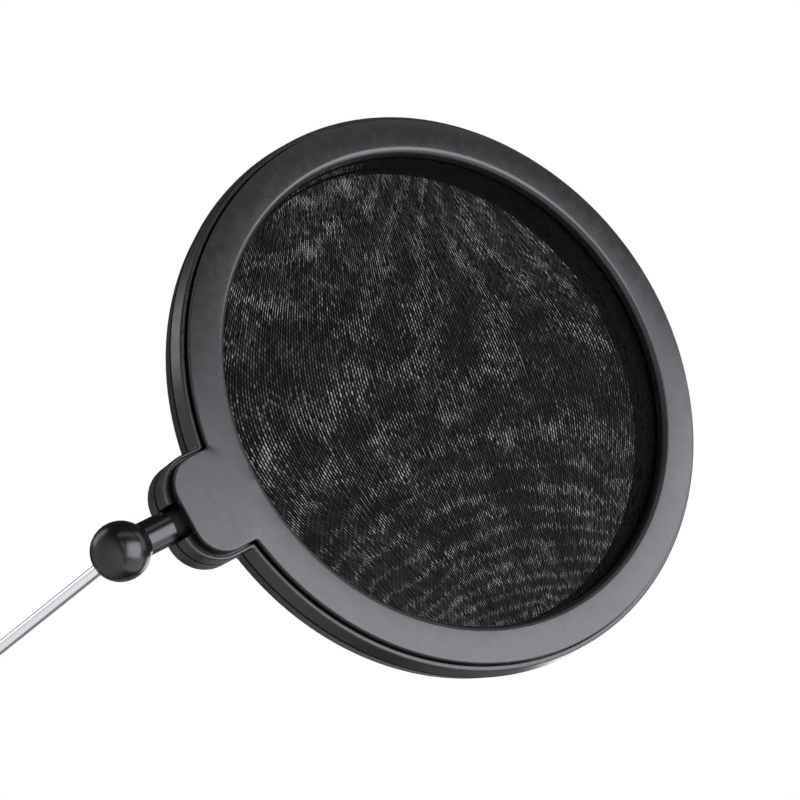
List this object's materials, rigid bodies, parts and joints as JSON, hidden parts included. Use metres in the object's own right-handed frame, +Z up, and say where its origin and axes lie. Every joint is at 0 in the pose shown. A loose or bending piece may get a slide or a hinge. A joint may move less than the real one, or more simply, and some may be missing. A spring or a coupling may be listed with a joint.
{
  "type": "microphone pop filter",
  "caption": "Round double-mesh microphone pop filter with clip-on bezels, turning on a stem with a ball joint at the end of a thin chrome rod.",
  "frame": {"origin": "centre of the rod's free end face", "axes": "+Z up along the stem to the screen, the screen faces -Y, and the rod comes up to the ball joint from behind and below"},
  "size_m": [0.1556, 0.1082, 0.2275],
  "materials": {
    "black_plastic": "fine satin moulding, charcoal black",
    "gloss_plastic": "semi-gloss black",
    "nylon_mesh": "black knitted nylon, see-through",
    "hoop_plastic": "plain moulding",
    "acetal": "natural acetal",
    "spring_steel": "plain zinc plated or bare steel",
    "chrome": "polished chrome plate"
  },
  "bodies": {
    "arm": {"rod": "chrome"},
    "joint_ball": {"rod_ball": "spring_steel"},
    "socket": {"ball_stem": "gloss_plastic", "ball_cap": "gloss_plastic", "inner_seat": "acetal", "outer_seat": "acetal", "seat_spring": "spring_steel", "friction_washer": "spring_steel", "stem_clip": "spring_steel"},
    "screen": {"front_bezel": "black_plastic", "front_housing": "black_plastic", "rear_housing": "black_plastic", "rear_bezel": "black_plastic", "front_mesh": "nylon_mesh", "rear_mesh": "nylon_mesh", "front_hoop": "hoop_plastic", "rear_hoop": "hoop_plastic", "boss_screw_left": "spring_steel", "boss_screw_right": "spring_steel", "bush_front": "acetal", "bush_rear": "acetal"}
  },
  "joints": [
    {"name": "ball_swivel", "type": "hinge", "parent": "arm", "child": "joint_ball", "pos_m": [-0.01054, -0.10032, 0.04386], "axis": [0.0959, 0.912, -0.3987], "continuous": true},
    {"name": "ball_tilt", "type": "hinge", "parent": "joint_ball", "child": "socket", "pos_m": [-0.01054, -0.10032, 0.04386], "axis": [0.9945, -0.1045, 0], "range_deg": [-18, 18]},
    {"name": "screen_swivel", "type": "hinge", "parent": "socket", "child": "screen", "pos_m": [-0.01054, -0.10032, 0.14836], "axis": [0, 0, 1], "continuous": true}
  ]
}
